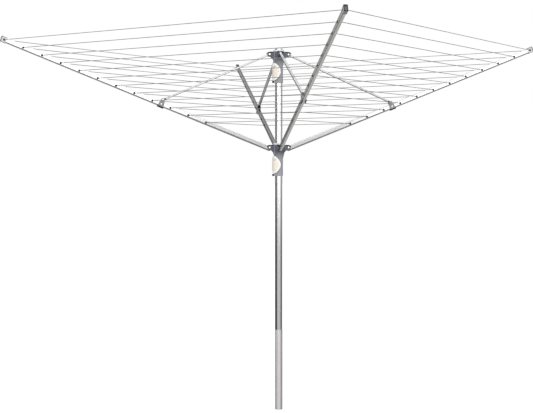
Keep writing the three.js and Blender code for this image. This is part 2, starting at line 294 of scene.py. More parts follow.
def plate(outlines, half, bevel=0.8):
    """X-Z outlines, thickened to each side of Y = 0, with rounded edges."""
    curve = bpy.data.curves.new("plate", "CURVE")
    curve.dimensions = "2D"
    curve.fill_mode = "BOTH"
    curve.extrude = (half - bevel) * MM
    curve.bevel_depth = bevel * MM
    curve.offset = -bevel * MM
    curve.bevel_resolution = 1
    for outline in outlines:
        spline = curve.splines.new("POLY")
        spline.points.add(len(outline) - 1)
        for point, (x, z) in zip(spline.points, outline):
            point.co = (x * MM, z * MM, 0, 1)
        spline.use_cyclic_u = True
    drawn = bpy.data.objects.new("plate", curve)
    mesh = bpy.data.meshes.new_from_object(drawn)
    bpy.data.objects.remove(drawn)
    bpy.data.curves.remove(curve)
    return tidy(across_y(mesh))


def block(x0, x1, half, z0, z1, bevel=0.0):
    """A box between x0 and x1, z0 and z1, and to each side of Y = 0."""
    corners = [(x0, z0), (x1, z0), (x1, z1), (x0, z1)]
    if bevel:
        return plate([softened(corners, bevel, 2)], half, bevel)
    return stacked([[(x, y, z) for x, z in corners] for y in (-half, half)])


def rod(radius, half, x, z, segments=24):
    """A plain round rod across Y."""
    mesh = across_y(turned([(0, -half), (radius, -half), (radius, half), (0, half)], segments))
    mesh.transform(shift(x, 0, z))
    return mesh


def combined(mesh, others, operation):
    """The mesh joined with, or cut by, each of the others."""
    holder = bpy.data.objects.new("holder", mesh)
    bpy.context.scene.collection.objects.link(holder)
    tools = []
    for other in others:
        tool = bpy.data.objects.new("tool", other)
        bpy.context.scene.collection.objects.link(tool)
        step = holder.modifiers.new("step", "BOOLEAN")
        step.operation = operation
        step.solver = "MANIFOLD"
        step.object = tool
        tools.append(tool)
    bpy.context.view_layer.update()
    evaluated = holder.evaluated_get(bpy.context.evaluated_depsgraph_get())
    result = bpy.data.meshes.new_from_object(evaluated)
    for made in [holder, *tools]:
        bpy.data.objects.remove(made)
    result.materials.clear()
    return tidy(result)


def joined(meshes):
    """Several closed shapes that don't touch, as one mesh."""
    work = bmesh.new()
    for mesh in meshes:
        work.from_mesh(mesh)
    result = bpy.data.meshes.new("shape")
    work.to_mesh(result)
    work.free()
    return result


# ---- materials ----


class Finish:
    """A material whose colour, roughness and bump come from noise in the piece's own coordinates."""

    MIX_COLOURS = (6, 7)  # the colour sockets among the Mix node's inputs
    MIXED_COLOUR = 2

    def __init__(self, name, metallic=0.0, coat=0.0):
        self.material = bpy.data.materials.new(name)
        self.material.use_nodes = True
        self.nodes = self.material.node_tree.nodes
        self.links = self.material.node_tree.links
        self.shader = self.nodes["Principled BSDF"]
        self.shader.inputs["Metallic"].default_value = metallic
        self.shader.inputs["Coat Weight"].default_value = coat
        self.place = self.nodes.new("ShaderNodeTexCoord").outputs["Object"]

    def noise(self, scale, detail=3.0, rough=0.55):
        """Noise with so many features to the metre along each axis."""
        stretch = self.nodes.new("ShaderNodeMapping")
        stretch.inputs["Scale"].default_value = scale
        texture = self.nodes.new("ShaderNodeTexNoise")
        texture.inputs["Scale"].default_value = 1.0
        texture.inputs["Detail"].default_value = detail
        texture.inputs["Roughness"].default_value = rough
        self.links.new(self.place, stretch.inputs["Vector"])
        self.links.new(stretch.outputs["Vector"], texture.inputs["Vector"])
        return texture.outputs["Fac"]

    def along(self, axis, start, end):
        """0 before start and 1 after end along an axis of the piece, in millimetres."""
        split = self.nodes.new("ShaderNodeSeparateXYZ")
        self.links.new(self.place, split.inputs["Vector"])
        return self.ranged(split.outputs[axis], start * MM, end * MM, 0.0, 1.0, smooth=True)

    def ranged(self, value, low, high, to_low, to_high, smooth=False):
        """The value with low..high stretched to to_low..to_high, and held there beyond."""
        node = self.nodes.new("ShaderNodeMapRange")
        if smooth:
            node.interpolation_type = "SMOOTHSTEP"
        for name, number in (("From Min", low), ("From Max", high), ("To Min", to_low), ("To Max", to_high)):
            node.inputs[name].default_value = number
        self.links.new(value, node.inputs["Value"])
        return node.outputs["Result"]

    def mixed(self, factor, first, second):
        """Between two colours, each a colour or a socket."""
        node = self.nodes.new("ShaderNodeMix")
        node.data_type = "RGBA"
        self.links.new(factor, node.inputs["Factor"])
        for index, colour in zip(self.MIX_COLOURS, (first, second)):
            socket = node.inputs[index]
            if isinstance(colour, tuple):
                socket.default_value = (*colour, 1.0)
            else:
                self.links.new(colour, socket)
        return node.outputs[self.MIXED_COLOUR]

    def colour(self, socket):
        self.links.new(socket, self.shader.inputs["Base Color"])

    def roughness(self, value, low, high):
        self.links.new(self.ranged(value, 0.3, 0.7, low, high), self.shader.inputs["Roughness"])

    def bump(self, value, depth, strength=0.5):
        node = self.nodes.new("ShaderNodeBump")
        node.inputs["Strength"].default_value = strength
        node.inputs["Distance"].default_value = depth * MM
        self.links.new(value, node.inputs["Height"])
        self.links.new(node.outputs["Normal"], self.shader.inputs["Normal"])


def shade(level, tint=(1.0, 1.0, 1.0)):
    return tuple(min(1.0, level * t) for t in tint)


def faded(finish, tone, fades):
    """The tone with each fade on top: along an axis, from start to end, it turns into a colour."""
    for axis, start, end, colour in fades:
        tone = finish.mixed(finish.along(axis, start, end), tone, colour)
    return tone


def drawn_metal(name, dark, light, grain, roughness, fades=()):
    """Drawn aluminium: fine streaks along the grain, faint cloudiness, and any fades to another colour, which
    are painted light and shade.
    """
    finish = Finish(name, metallic=1.0)
    streaks = finish.noise(grain, detail=4.0)
    clouds = finish.noise((7.0, 7.0, 7.0))
    tone = finish.mixed(finish.ranged(streaks, 0.3, 0.7, 0.0, 1.0), dark, light)
    tone = finish.mixed(finish.ranged(clouds, 0.35, 0.75, 0.0, 0.35), tone, dark)
    finish.colour(faded(finish, tone, fades))
    finish.roughness(streaks, *roughness)
    finish.bump(streaks, 0.05, 0.35)
    return finish.material


def moulded(name, dark, light, roughness, coat=0.0, specular=0.5, fades=()):
    """Moulded plastic: cloudy colour, a fine grit in the surface, and any fades to another colour, which are
    painted light and shade.
    """
    finish = Finish(name, coat=coat)
    clouds = finish.noise((35.0, 35.0, 35.0), detail=4.0)
    grit = finish.noise((900.0, 900.0, 900.0), detail=2.0)
    tone = finish.mixed(finish.ranged(clouds, 0.3, 0.7, 0.0, 1.0), dark, light)
    finish.colour(faded(finish, tone, fades))
    finish.roughness(clouds, *roughness)
    finish.shader.inputs["Specular IOR Level"].default_value = specular
    finish.bump(grit, 0.08, 0.4)
    return finish.material


WARM = (1.0, 0.97, 0.93)
PINKISH = (1.0, 0.96, 0.97)
BLUISH = (0.98, 0.99, 1.03)
SLATE = (0.92, 0.96, 1.2)
GREYER_SLATE = (0.97, 0.98, 1.06)

# The grain of drawn metal: features to the metre along X, Y and Z.
ALONG_X = (4.0, 900.0, 900.0)
ALONG_Z = (900.0, 900.0, 4.0)
EVEN = (300.0, 300.0, 300.0)

# Fades, which are painted light and shade: the axis, where the fade starts and ends in the piece's own frame,
# and the colour it leads to.
# Painted light on the arm tubes, fade by fade:
arm_painted_light = [
    # painted shade, darker towards the hub
    ("X", 660, 240, shade(0.4, PINKISH)),
    # painted shade, a dark band low on each side
    ("Z", -6.4, -7.4, shade(0.12)),
    # the underside back to a warm grey below that band of painted shade
    ("Z", -12.1, -12.7, shade(0.78, WARM)),
    # painted shade on the upper part of each side
    ("Z", 8.0, 9.0, shade(0.4)),
    # a painted highlight along the top chamfer
    ("Z", 10.5, 11.0, shade(0.95)),
    # painted shade on the top face
    ("Z", 12.3, 12.9, shade(0.26)),
]
# Painted shade on the strut's sides: darker along their lower and upper edges.
strut_painted_shade_bands = [("Z", -1.9, -2.9, shade(0.14)), ("Z", 2.2, 3.2, shade(0.24))]
# Painted shade: the mast darker towards the bottom.
mast_painted_shade = [("Z", 1300, 800, shade(0.55))]
# Painted shade: the rack turns near black below the lower hub.
rack_painted_shade = [("Z", 1290, 1210, shade(0.02))]
# Painted highlight: the casting lighter and less blue from the funnel down onto the collar.
hub_painted_highlight = [("Z", -14, -64, shade(0.33, GREYER_SLATE))]
# Painted shade: the tip cap dark on its top and bottom faces.
cap_painted_shade = [("Z", -12.2, -13.4, shade(0.2)), ("Z", 12.2, 13.4, shade(0.05))]

arm_metal = drawn_metal("arm_metal", shade(0.74), shade(0.95), ALONG_X, (0.24, 0.42), arm_painted_light)
strut_metal = drawn_metal("strut_metal", shade(0.75), shade(0.95), ALONG_X, (0.3, 0.5))
# The strut's sides and the inside of its channel are darker copies of its metal: painted shade.
strut_flank_painted_shade = drawn_metal("strut_flank_painted_shade", shade(0.4), shade(0.55), ALONG_X, (0.3, 0.5), strut_painted_shade_bands)
strut_trough_painted_shade = drawn_metal("strut_trough_painted_shade", shade(0.5, WARM), shade(0.66, WARM), ALONG_X, (0.45, 0.6))
mast_metal = drawn_metal("mast_metal", shade(0.78), shade(0.95), ALONG_Z, (0.22, 0.4), mast_painted_shade)
pole_metal = drawn_metal("pole_metal", shade(0.58, PINKISH), shade(0.78, PINKISH), ALONG_Z, (0.42, 0.58))
pin_metal = drawn_metal("pin_metal", shade(0.8), shade(0.95), EVEN, (0.15, 0.3))

# Painted shade: near black in the mast's channel and in the rack's notches.
recess_painted_shade = moulded("recess_painted_shade", shade(0.006), shade(0.014), (0.6, 0.8), specular=0.15)
rack_plastic = moulded(
    "rack_plastic", shade(0.11), shade(0.18), (0.45, 0.6), specular=0.15, fades=rack_painted_shade
)
hub_plastic = moulded(
    "hub_plastic", shade(0.065, SLATE), shade(0.12, SLATE), (0.42, 0.58), fades=hub_painted_highlight
)
# Painted highlight: the ridge is a lighter copy of the casting's plastic.
ridge_painted_highlight = moulded("ridge_painted_highlight", shade(0.22, SLATE), shade(0.3, SLATE), (0.4, 0.55))
bracket_plastic = moulded(
    "bracket_plastic", shade(0.21, GREYER_SLATE), shade(0.31, GREYER_SLATE), (0.42, 0.58)
)
black_plastic = moulded("black_plastic", shade(0.008), shade(0.018), (0.5, 0.65), specular=0.3)
shadow_plastic = moulded("shadow_plastic", shade(0.1), shade(0.16), (0.5, 0.65))
panel_plastic = moulded("panel_plastic", shade(0.07), shade(0.12), (0.45, 0.6))
pale_plastic = moulded("pale_plastic", shade(0.6, BLUISH), shade(0.75, BLUISH), (0.35, 0.5))
cap_plastic = moulded("cap_plastic", shade(0.48), shade(0.6), (0.4, 0.55), fades=cap_painted_shade)
cream_plastic = moulded("cream_plastic", (0.80, 0.74, 0.62), (0.88, 0.83, 0.72), (0.28, 0.42), coat=0.15)
white_plastic = moulded("white_plastic", shade(0.82), shade(0.92), (0.28, 0.42), coat=0.15)
line_cord = moulded("line_cord", shade(0.16), shade(0.26), (0.5, 0.65))

# ---- placing ----

SHARP_ANGLE = 35.0


def place(name, mesh, body, materials, matrix=Matrix.Identity(4), stands_for=()):
    """A piece of the object, drawn in its own frame, that rides on a body and stands for CAD nodes."""
    piece = bpy.data.objects.new(name, mesh)
    bpy.context.scene.collection.objects.link(piece)
    piece.matrix_world = matrix
    for material in materials:
        mesh.materials.append(material)
    mesh.shade_smooth()
    mesh.set_sharp_from_angle(angle=math.radians(SHARP_ANGLE))
    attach(piece, body)
    if stands_for:
        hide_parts(*stands_for)
    return piece


def paint(mesh, index, chosen):
    """Gives the faces whose centre, in millimetres, is chosen a material of the piece's list."""
    for face in mesh.polygons:
        if chosen(Vector(face.center) / MM):
            face.material_index = index


def pin_mesh(radius, half, head=0.0, head_at=0.0):
    """A pin across Y. head is the radius of a flat domed head at each end, which starts at head_at."""
    side = [(0, half), (radius - 0.5, half), (radius, half - 0.5)]
    if head:
        side = [(0, half), (head * 0.55, half - 0.12), (head * 0.88, half - 0.5), (head, head_at + 0.15)]
        side += [(head - 0.15, head_at), (radius, head_at)]
    return across_y(turned(mirrored(side), 28))


# ---- pole and mast ----


def pole_mesh():
    radius, top, floor, edge = POLE["radius"], POLE["top"], POLE["floor"], POLE["edge"]
    inner = radius - POLE["wall"]
    profile = [(0, 0), (radius - edge, 0), (radius, edge), (radius, top * 0.5), (radius, top - edge)]
    profile += [(radius - edge, top), (inner + edge / 2, top), (inner, top - edge), (inner, floor)]
    profile.append((0, floor))
    return turned(profile, 72)


def mast_mesh():
    """The tube with its flat rail and the rail's channel, and the spigot that turns in the pole."""
    radius, inner = MAST["radius"], MAST["radius"] - MAST["wall"]
    start = math.degrees(math.asin(RAIL["half"] / radius))
    face, half, floor = RAIL["face"], RAIL["half"], RAIL["channel_floor"]
    left, right = RAIL["channel"]
    rail = [(face, -half), (face, left), (floor, left), (floor, right), (face, right), (face, half)]
    rail = [arc(0, 0, radius, -start, 0, 1)[0], *rail, arc(0, 0, radius, start, 0, 1)[0]]
    outline = [*arc(0, 0, radius, start, 360 - start, 64)[1:-1], *softened(rail, 0.6, 2, closed=False)]
    body = stacked([[(x, y, z) for x, y in outline] for z in (MAST["bottom"], MAST["top"])])
    low, high = MAST["spigot_bottom"], MAST["spigot_top"]
    spigot = turned([(0, low), (MAST["spigot"], low), (MAST["spigot"], high), (0, high)], 64)
    flat = math.degrees(math.acos(RAIL["inner_flat"] / inner))
    hollow = arc(0, 0, inner, flat, 360 - flat, 48)
    core = stacked([[(x, y, z) for x, y in hollow] for z in (low - 1, MAST["top"] + 1)])
    return combined(combined(body, [spigot], "UNION"), [core], "DIFFERENCE")


def in_channel(p):
    left, right = RAIL["channel"]
    inside = RAIL["channel_floor"] - 0.1 < p.x < RAIL["face"] - 0.2
    return inside and left - 0.1 < p.y < right + 0.1


def rack_mesh():
    """The notched strip in the channel, with its long edges broken."""
    back, face, floor = RAIL["channel_floor"] + 0.3, RACK["face"], RACK["face"] - RACK["depth"]
    outline = [(back, RACK["bottom"]), (face, RACK["bottom"])]
    foot = RACK["bottom"] + RACK["pitch"] / 2
    while foot + RACK["notch"] < RACK["top"] - RACK["pitch"] / 2:
        head = foot + RACK["notch"]
        outline += [(face, foot), (floor, foot), (floor, head), (face, head)]
        foot += RACK["pitch"]
    outline += [(face, RACK["top"]), (back, RACK["top"])]
    outline = softened(outline, 0.5, 2)
    edge = RACK["edge"]
    narrow = [(x - edge if x > back + 1 else x, z) for x, z in outline]
    left, right = RACK["sides"]
    layers = ((left, narrow), (left + edge, outline), (right - edge, outline), (right, narrow))
    return stacked([[(x, y, z) for x, z in ring] for y, ring in layers])


def on_notch(p):
    """The rack's floors and the walls between them, below its face."""
    return p.x < RACK["face"] - 0.6


def cap_mesh():
    """A shallow dome on top of the mast and the plug that holds it."""
    radius, height, plug, depth = CAP["radius"], CAP["thickness"], CAP["plug"], CAP["plug_depth"]
    profile = [(0, -depth), (plug - 0.6, -depth), (plug, -depth + 0.6), (plug, 0)]
    profile += [(radius - 0.6, 0), (radius, 0.5), (radius, 1.2), (radius - 0.3, height * 0.5)]
    profile += [(radius - 1.6, height * 0.82), (radius - 4.5, height), (radius * 0.45, height), (0, height)]
    return turned(profile, 64)


latch = turn(LATCH_ANGLE)
place("pole_tube", pole_mesh(), "lower_pole", [pole_metal], stands_for=["lower_pole"])
mast_tube = mast_mesh()
# The channel in the mast's rail and the floors and walls of the rack's notches get painted shade.
paint(mast_tube, 1, in_channel)
place("mast_tube", mast_tube, "mast", [mast_metal, recess_painted_shade], latch, ["mast"])
rack_strip = rack_mesh()
paint(rack_strip, 1, on_notch)
place("rack_strip", rack_strip, "mast", [rack_plastic, recess_painted_shade], latch, ["rack"])
cap_at = shift(0, 0, MAST["top"] + CAP["gap"])
place("mast_top_cap", cap_mesh(), "mast", [pale_plastic], cap_at, ["mast_cap"])

# ---- hubs ----


def claw_mesh():
    """One claw: a fork with a rounded nose round its pin, lowest where a lip sits on it."""
    nose = arc(PIVOT_RADIUS, 0, CLAW["nose"], 12, -115, 14)
    top = [(20, 14), (33, 14), (33, 9.2), (40, 9.0), (50, 7.8), (57, 5.6)]
    outline = [*top, *nose, (36, -17), (30, -24), (24.5, -33), (21.9, -46), (20, -46)]
    return plate([outline], CLAW["half"], 0.9)


def claw_slot(bottom, top):
    return block(CLAW["slot_start"], CLAW["slot_end"], CLAW["slot_half"], bottom, top)


def lips_mesh():
    """The four black lips that cap the claws, each split by its claw's slot and pointed like a beak."""
    outline = [(33.3, 14), (44, 14), (54, 12.7), (60, 10.2), (63.8, 5.6), (63.4, 3.2), (57.2, 6), (50.2, 8.2)]
    outline += [(40, 9.3), (33.3, 9.5)]
    lip = plate([outline], CLAW["half"] + 0.9, 0.8)
    lip = combined(lip, [claw_slot(-5, 16)], "DIFFERENCE")
    return joined([moved(lip, turn(angle)) for angle in ARM_ANGLES])


def hub_mesh():
    """The casting: a funnel on a collar, four claws, and a housing, a ledge and a ridge for the latch."""
    top, flange, collar, bottom = HUB["top"], HUB["flange"], HUB["collar"], HUB["bottom"]
    profile = [(0, bottom), (collar, bottom), (collar, -60), (25.6, -45), (flange, -24), (flange, top)]
    profile.append((0, top))
    body = turned(softened(profile, 3.0, 4, closed=False), 72)
    claws = [moved(claw_mesh(), turn(angle)) for angle in ARM_ANGLES]
    latch_side = [
        block(5, 25.5, 9, bottom + 0.4, -50, 1.2),
        block(5, 27.4, 9, -66, -47.6, 1.2),
        block(5, LEDGE["face"], LEDGE["half"], bottom + 0.1, LEDGE["top"], 1.2),
        block(5, RIDGE["face"], RIDGE["half"], RIDGE["bottom"], top - 0.4, 1.0),
    ]
    whole = combined(body, claws, "UNION")
    whole = combined(whole, [moved(part, latch) for part in latch_side], "UNION")

    low, high, bore = bottom - PAST, top + PAST, PASSAGE["radius"]
    passage = turned([(0, low), (bore, low), (bore, high), (0, high)], 64)
    claw_cuts = [
        moved(cut, turn(angle))
        for angle in ARM_ANGLES
        for cut in (claw_slot(-60, high), rod(HOLE["hub_pin"], CLAW["half"] + PAST, PIVOT_RADIUS, 0))
    ]
    rail_key = block(0, PASSAGE["key_face"], PASSAGE["key_half"], low, high)
    knuckle_pocket = block(18.1, 45, 5.6, -62, -50)
    pawl_window = block(18.1, 31, 4.4, -126.5, -113.5)
    pin_hole = rod(HOLE["lever_pin"], 10, LEVER_PIN["radial"], LEVER_PIN["z"])
    latch_cuts = [moved(cut, latch) for cut in (rail_key, knuckle_pocket, pawl_window, pin_hole)]
    return combined(whole, [passage, *claw_cuts, *latch_cuts], "DIFFERENCE")


def rim_mesh():
    """The pale ring round the mast, with room for the mast's rail."""
    outer, low, high = RIM["outer"], RIM["bottom"], RIM["top"]
    inner = PASSAGE["radius"]
    profile = softened([(inner, low), (outer, low), (outer - 1.2, high), (inner, high)], 2.2, 4)
    ring = turned(profile, 64, closed=True)
    key = block(15, PASSAGE["key_face"], PASSAGE["key_half"], low - 1, high + 1)
    return combined(ring, [moved(key, latch)], "DIFFERENCE")


def rounded_bar(length, width, x0, x1):
    """A bar along Y with round ends, from x0 to x1."""
    reach = (length - width) / 2
    outline = [*arc(reach, 0, width / 2, -90, 90, 8), *arc(-reach, 0, width / 2, 90, 270, 8)]
    return stacked([[(x, y, z) for y, z in outline] for x in (x0, x1)])


def lever_ring(size, radius):
    """An oval of a share of the lever's size, bent round the hub's axis at a radius."""
    segments = 56
    ring = []
    for i in range(segments):
        angle = 2 * math.pi * i / segments
        swing = math.asin(size * LEVER["half_width"] * math.cos(angle) / LEVER["outer"])
        z = LEVER["z"] + size * LEVER["half_height"] * math.sin(angle)
        ring.append((radius * math.cos(swing), radius * math.sin(swing), z))
    return ring


def lever_mesh():
    """An oval shell on the collar with a raised border, and below it a hinge knuckle and a pawl."""
    outer, radial, pin_z = LEVER["outer"], LEVER_PIN["radial"], LEVER_PIN["z"]
    outside = [(0.12, 0.0), (0.4, 0.0), (0.62, -0.1), (0.72, -0.3), (0.75, -0.3), (0.78, 0.3), (0.94, 0.3)]
    outside += [(0.985, -0.3), (1.0, -1.4)]
    inside = (0.985, 0.8, 0.5, 0.12)
    rings = [lever_ring(size, outer - 0.3 + lift) for size, lift in outside]
    rings += [lever_ring(size, LEVER["inner"]) for size in inside]
    knuckle = [block(radial, 32, 5, pin_z - 3.3, pin_z + 3.3), rod(3.3, 5, radial, pin_z)]
    pawl = block(21.3, 32, 3.8, -124, -116, 0.6)
    whole = combined(stacked(rings), [*knuckle, pawl], "UNION")
    slot = rounded_bar(SLOT["length"], SLOT["width"], outer - SLOT["depth"], outer + 3)
    lean = Matrix.Rotation(math.radians(SLOT["lean"]), 4, "X")
    slot.transform(turn(SLOT["around"]) @ shift(0, 0, SLOT["z"]) @ lean)
    return combined(whole, [slot, rod(HOLE["lever_pin"], 6, radial, pin_z)], "DIFFERENCE")


def on_border(p):
    across = p.y / LEVER["half_width"]
    up = (p.z - LEVER["z"]) / LEVER["half_height"]
    return math.hypot(p.x, p.y) > 32 and math.hypot(across, up) > LEVER["border"]


def in_slot(p):
    """The floor of the lever's slot: below the face, and near the slot round the axis and in height."""
    out = math.hypot(p.x, p.y)
    around = math.degrees(math.atan2(p.y, p.x)) - SLOT["around"]
    sunk = 32.5 < out < LEVER["outer"] - 0.7
    return sunk and abs(around) < 14 and abs(p.z - SLOT["z"]) < SLOT["length"] / 2


def on_ridge(p):
    q = latch.inverted() @ p
    return q.x > RIDGE["face"] - 1.3 and abs(q.y) < RIDGE["half"] + 0.2 and p.z > RIDGE["bottom"] - 0.5


def on_ledge(p):
    return (latch.inverted() @ p).x > 34.6 and p.z < LEDGE["top"] + 1


def place_hub(hub, z):
    at, body, lever = shift(0, 0, z), f"{hub}_hub", f"{hub}_lever"
    casting, casting_finish = hub_shape.copy(), [hub_plastic, ridge_painted_highlight, black_plastic]
    lever_finish = [cream_plastic, white_plastic, shadow_plastic]
    pin_at = at @ latch @ shift(LEVER_PIN["radial"], 0, LEVER_PIN["z"])
    pin = pin_mesh(LEVER_PIN["radius"], LEVER_PIN["half"])
    place(f"{hub}_hub_casting", casting, body, casting_finish, at, [f"{hub}_hub_body"])
    place(f"{hub}_hub_lips", lips_shape.copy(), body, [black_plastic], at)
    place(f"{hub}_rim", rim_shape.copy(), body, [pale_plastic], at, [f"{hub}_hub_rim"])
    place(f"{hub}_grip", lever_shape.copy(), lever, lever_finish, at @ latch, [lever])
    place(f"{hub}_grip_pin", pin, body, [pin_metal], pin_at, [f"{hub}_lever_pin"])


hub_shape, lips_shape, rim_shape, lever_shape = hub_mesh(), lips_mesh(), rim_mesh(), lever_mesh()
# The ridge on the casting gets the painted highlight.
paint(hub_shape, 1, on_ridge)
paint(hub_shape, 2, on_ledge)
paint(lever_shape, 1, on_border)
paint(lever_shape, 2, in_slot)
place_hub("upper", UPPER_HUB_Z)
place_hub("lower", LOWER_HUB_Z)

# ---- arms ----


def arm_section():
    """The tube's outline in Y and Z: ribs underneath, and a groove above a stepped edge on each side."""
    w, h = ARM["half_width"], ARM["half_height"]
    side = [(w - 0.7, -h), (w - 0.7, -h + 5.2), (w - 1.0, -h + 5.7), (w - 1.0, -h + 6.6), (w, -h + 7.2)]
    side += [(w, h - 2.4), (w - 0.7, h - 0.7), (w - 2.4, h)]
    rib = -h + 0.9
    under = [(-w + 0.7, -h), (-4.9, -h), (-4.4, rib), (-3.3, rib), (-2.8, -h), (-0.8, -h), (-0.4, rib)]
    under += [(-y, z) for y, z in reversed(under[1:])]
    over = [(-y, z) for y, z in reversed(side[1:])]
    return softened([*under, *side, *over], 1.2, 3)


def arm_mesh():
    """The tube with its rounded, filled root and the holes for the pins and the lines."""
    w, h, wall = ARM["half_width"], ARM["half_height"], ARM["wall"]
    end = TIP_ALONG + TIP_CAP["outer"] - 4.3
    shrink = ((w - wall) / w, (h - wall) / h)
    tube = tube_along_x(arm_section(), shrink, 0, end)
    root = plate([arc(0, 0, h, 0, 360, 40)[:-1]], w, 0.8)
    filling = block(-2, 18, w - wall / 2, -h + wall / 2, h - wall / 2)
    whole = combined(tube, [root, filling], "UNION")
    cuts = [rod(HOLE["hub_pin"], 9, 0, ARM["drop"]), rod(HOLE["bracket_pin"], 9, BRACKET_ALONG, 0)]
    cuts += [rod(HOLE["line"], 9, hole_along(run), 0, 20) for run in range(LINE["runs"])]
    return combined(whole, cuts, "DIFFERENCE")


def grommet_mesh():
    """A dark bush through one line hole, with a rounded flange and a dished middle on each side."""
    w = ARM["half_width"]
    side = [(0, w + 0.8), (2.6, w + 0.8), (3.2, w + 1.7), (4.6, w + 2.2), (5.8, w + 1.4)]
    side += [(6.0, w + 0.02), (3.4, w + 0.02)]
    return across_y(turned(mirrored(side), 24))


def tip_cap_mesh():
    """A grey cap with a groove round it and a sunk end panel, with room for the first line."""
    w, h, thickness = ARM["half_width"] + SLACK, ARM["half_height"] + SLACK, TIP_CAP["thickness"]
    outside = softened(rectangle(w + thickness, h + thickness), 2.4, 4)
    inside = softened(rectangle(w, h), 1.2, 4)
    x0, x1 = TIP_ALONG + TIP_CAP["inner"], TIP_ALONG + TIP_CAP["outer"]

    def ring(outline, x, size=1.0):
        return [(x, y * size, z * size) for y, z in outline]

    rings = [ring(inside, x1 - 4), ring(inside, x0), ring(outside, x0, 0.97), ring(outside, x0 + 0.8)]
    rings += [ring(outside, x1 - 4.2), ring(outside, x1 - 3.9, 0.975), ring(outside, x1 - 3.5, 0.975)]
    rings += [ring(outside, x1 - 3.2), ring(outside, x1 - 0.9), ring(outside, x1, 0.93)]
    drop = TIP_CAP["panel_drop"]
    rings += [[(x, y * 0.66, z * 0.72 - drop) for y, z in outside] for x in (x1, x1 - 1.0)]
    return combined(stacked(rings), [rod(5.6, 12, TIP_ALONG, 0)], "DIFFERENCE")


def on_end(p):
    """The cap's end, from the groove outwards."""
    return p.x > TIP_ALONG + TIP_CAP["outer"] - 3.9


def in_panel(p):
    """The cap's sunk end panel."""
    w = ARM["half_width"] + SLACK + TIP_CAP["thickness"]
    h = ARM["half_height"] + SLACK + TIP_CAP["thickness"]
    at_end = p.x > TIP_ALONG + TIP_CAP["outer"] - 1.05
    return at_end and abs(p.y) < w * 0.5 and abs(p.z + TIP_CAP["panel_drop"]) < h * 0.6


def bracket_mesh():
    """A saddle over the arm, and above it two cheeks with a hooked cradle for the pin."""
    w, z, half = ARM["half_width"] + SLACK, BRACKET_ABOVE, BRACKET["half"]
    hook = [*arc(0, z, BRACKET["hook"], -40, 50, 8), *arc(0, z, BRACKET["hook_middle"], 50, 125, 5)]
    hook += arc(0, z, BRACKET["hook"], 125, 215, 8)
    outline = [(-15, -11), (15, -11), (14.6, 4), (12.6, 13), *hook, (-12.6, 13), (-14.6, 4)]
    body = plate([softened(outline, 1.0, 2)], half, 0.9)
    gap = block(-20, 20, BRACKET["cheek_gap"], 15.4, z + 12)
    saddle = block(-20, 20, w, -14, ARM["half_height"] + SLACK)
    dimples = [moved(rod(3.0, 1.6, 0, 10.4), shift(0, y, 0)) for y in (-half - 0.1, half + 0.1)]
    bores = [rod(HOLE["bracket_pin"], 12, 0, 0), rod(HOLE["bracket_pin"], 12, 0, z)]
    return combined(body, [gap, saddle, *dimples, *bores], "DIFFERENCE")


def foot_mesh():
    """The black foot strip under a bracket: a bar along each side of the arm, joined by two thin straps."""
    w, low = ARM["half_width"] + SLACK, -ARM["half_height"] - SLACK
    corners = softened([(-17, low - 4.6), (17, low - 4.6), (17, -11.2), (-17, -11.2)], 2.0, 3)
    bars = plate([corners], 11, 1.0)
    arm_room = block(-20, 20, w, low - 6, -9)
    between_straps = block(-12.5, 12.5, w + 0.1, low - 6, low + 2)
    return combined(bars, [arm_room, between_straps], "DIFFERENCE")


def rivet_mesh():
    side = [(0, 12.9), (1.6, 12.8), (3.1, 12.3), (4.2, 11.6), (4.4, 11.3), (2.5, 11.3)]
    return across_y(turned(mirrored(side), 28))


# ---- struts ----


def strut_mesh():
    """A channel open underneath with a grooved top, and a round eye at each end."""
    w, h, wall = STRUT["half_width"], STRUT["half_height"], STRUT["wall"]
    groove, inner, roof = h - 0.5, w - wall, h - wall - 0.6
    top = [(-w, -h), (-w, h), (-2.2, h), (-1.6, groove), (1.6, groove), (2.2, h), (w, h), (w, -h)]
    section = softened([*top, (inner, -h), (inner, roof), (-inner, roof), (-inner, -h)], 0.7, 2)
    stations = (2, LINK_LENGTH - STRUT["socket"], LINK_LENGTH - 2)
    channel = stacked([[(x, y, z) for y, z in section] for x in stations])
    ends = []
    for x, end in ((0, STRUT["root"]), (LINK_LENGTH, LINK_LENGTH - STRUT["root"])):
        ends.append(plate([arc(x, 0, STRUT["eye"], 0, 360, 32)[:-1]], w, 0.7))
        ends.append(block(min(x, end), max(x, end), w - 0.3, -h + 0.3, h - 0.8))
    whole = combined(channel, ends, "UNION")
    bores = [rod(HOLE["hub_pin"], 9, 0, 0), rod(HOLE["bracket_pin"], 9, LINK_LENGTH, 0)]
    return combined(whole, bores, "DIFFERENCE")


def on_side(p):
    return abs(p.y) > STRUT["half_width"] - 0.35


def in_trough(p):
    return abs(p.y) < STRUT["half_width"] - 0.5 and p.z < STRUT["half_height"] - 1.5


def on_socket(p):
    """The strut's end at the bracket."""
    return p.x > LINK_LENGTH - STRUT["socket"]


# ---- lines ----


def half_side(run, side):
    """Where half a side of a run starts on the arm, and how far it reaches, in the arm's own frame."""
    slope = math.radians(ARM["slope"])
    offset = ARM["half_width"] - ARM["wall"] / 2
    corner = LINE["first"] - LINE["pitch"] * run + offset
    start = Vector((hole_along(run) + offset * math.cos(slope), 0, -offset * math.sin(slope)))
    reach = Vector((-corner / 2 * math.cos(slope), side * corner / 2, corner / 2 * math.sin(slope)))
    return start, reach


def half_line_mesh(run, side):
    """Half of one side of a run, from an arm to the middle of the side, in the arm's own frame."""
    slope = math.radians(ARM["slope"])
    start, reach = half_side(run, side)
    up = Vector((math.sin(slope), 0, math.cos(slope)))
    across = reach.cross(up).normalized()
    rings = []
    for k in range(LINE["lengths"] + 1):
        centre = start + reach * (k / LINE["lengths"])
        ring = []
        for i in range(LINE["sides"]):
            angle = 2 * math.pi * i / LINE["sides"]
            ring.append(centre + (across * math.cos(angle) + up * math.sin(angle)) * LINE["radius"])
        rings.append(ring)
    return stacked(rings)


# ---- arms, struts and lines in place ----


